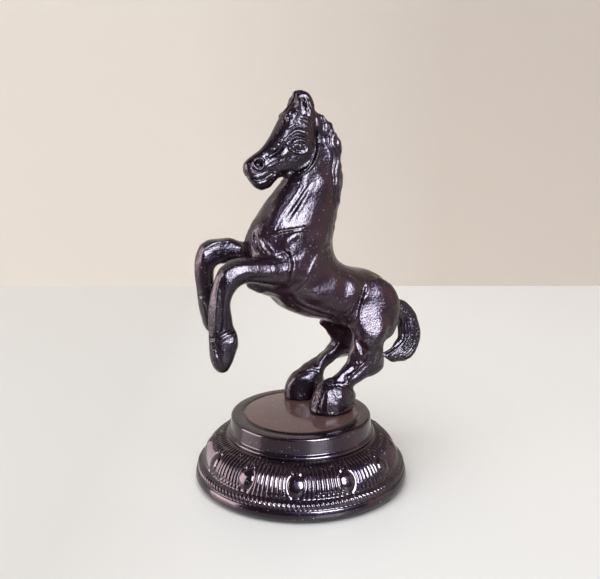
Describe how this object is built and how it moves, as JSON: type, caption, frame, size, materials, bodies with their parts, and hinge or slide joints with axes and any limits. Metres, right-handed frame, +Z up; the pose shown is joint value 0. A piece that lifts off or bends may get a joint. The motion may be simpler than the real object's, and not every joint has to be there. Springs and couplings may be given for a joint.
{
  "type": "rearing horse figurine",
  "caption": "Cast metal rearing horse on a round fluted base, a free-standing ornament with a glossy dark lacquer.",
  "frame": {"origin": "centre of the underside of the felt pad, where the figurine rests", "axes": "+Z up through the horse's ears; the horse faces -X and its left side, the side in the picture, is -Y"},
  "size_m": [0.1, 0.0844, 0.1512],
  "materials": {
    "lacquered_metal": "glossy near-black lacquer with an aubergine tint over cast metal",
    "zinc_steel": "zinc-plated",
    "felt": "dark pressed felt"
  },
  "bodies": {
    "root": {"body_left_half": "lacquered_metal", "body_right_half": "lacquered_metal", "foreleg_left": "lacquered_metal", "foreleg_right": "lacquered_metal", "hindleg_left": "lacquered_metal", "hindleg_right": "lacquered_metal", "tail": "lacquered_metal", "base_drum": "lacquered_metal", "base_skirt": "lacquered_metal", "felt_pad": "felt", "hoof_screw_left": "zinc_steel", "washer_left": "zinc_steel", "hoof_screw_right": "zinc_steel", "washer_right": "zinc_steel"}
  },
  "joints": []
}
